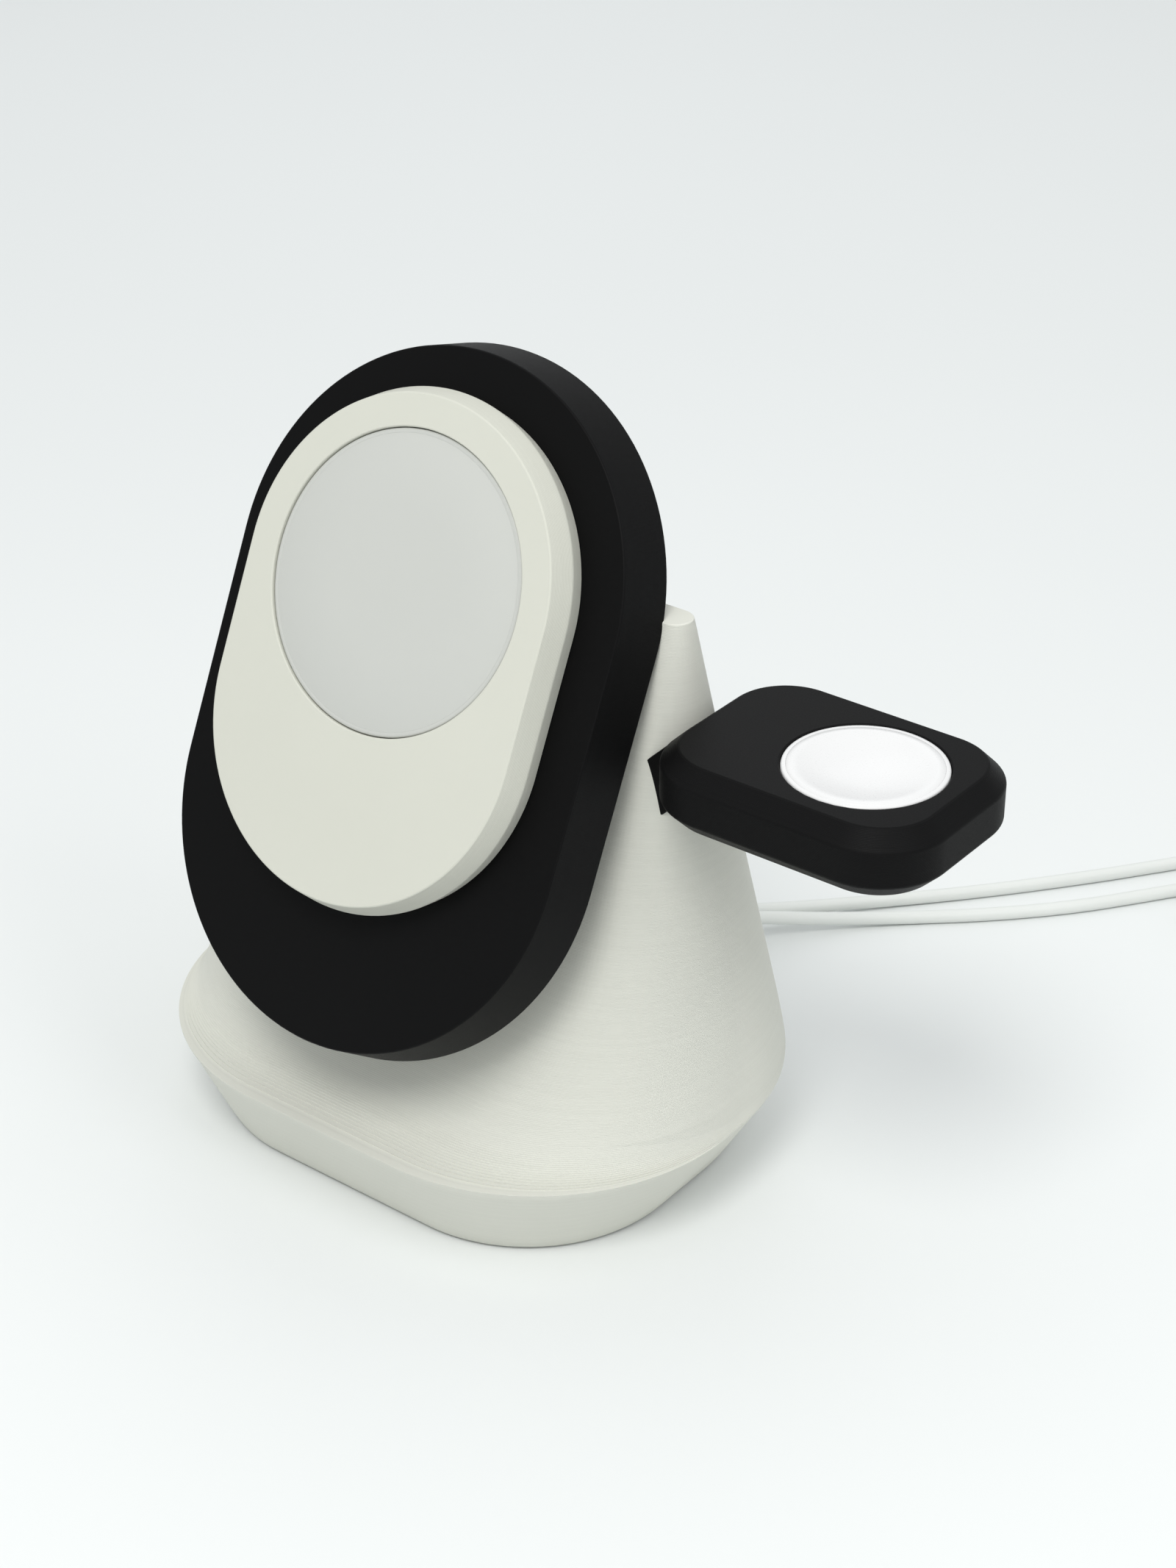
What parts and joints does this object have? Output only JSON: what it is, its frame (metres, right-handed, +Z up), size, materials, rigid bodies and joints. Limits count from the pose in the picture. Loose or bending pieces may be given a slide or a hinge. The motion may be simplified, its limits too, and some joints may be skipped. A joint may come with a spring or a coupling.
{
  "type": "wireless charging station",
  "caption": "Table charging stand: a flared base carries a leaning plate with a round magnetic phone puck and a side arm with a dished watch puck.",
  "frame": {"origin": "on the floor, at the middle of the anti-slip mat under the base", "axes": "+Z up, -Y the front that the phone plate faces, +X towards the watch arm"},
  "size_m": [0.2047, 0.2708, 0.1613],
  "materials": {
    "printed_white": "matte",
    "plate_white": "matte",
    "printed_black": "matte",
    "rubber_black": "matte",
    "steel": "satin",
    "puck_metal": "satin",
    "puck_face_grey": "matte",
    "puck_white": "glossy",
    "cord_white": "satin",
    "grommet_white": "matte",
    "magnet": "satin",
    "copper": "satin",
    "ferrite": "matte",
    "board": "satin"
  },
  "bodies": {
    "root": {"base_shell": "printed_white", "base_cover": "printed_white", "base_mat": "rubber_black", "cover_screws": "steel", "ballast_plate": "steel", "cord_clamp": "printed_white", "clamp_screws": "steel", "phone_grommet": "grommet_white", "watch_grommet": "grommet_white", "pad_housing": "printed_black", "puck_carrier": "plate_white", "pad_screws": "steel", "carrier_screws": "steel", "phone_puck_case": "puck_metal", "phone_puck_face": "puck_face_grey", "phone_magnets": "magnet", "phone_coil": "copper", "phone_ferrite": "ferrite", "phone_board": "board", "phone_strain_relief": "cord_white", "phone_lead": "cord_white", "watch_arm": "printed_black", "arm_cover": "printed_black", "arm_screws": "steel", "watch_puck_case": "puck_white", "watch_puck_face": "puck_white", "watch_magnet": "magnet", "watch_coil": "copper", "watch_board": "board", "watch_strain_relief": "cord_white", "watch_lead": "cord_white", "phone_cord": "cord_white", "phone_cord_coil": "cord_white", "phone_plug": "cord_white", "watch_cord": "cord_white", "watch_cord_coil": "cord_white", "watch_plug": "cord_white"}
  },
  "joints": []
}
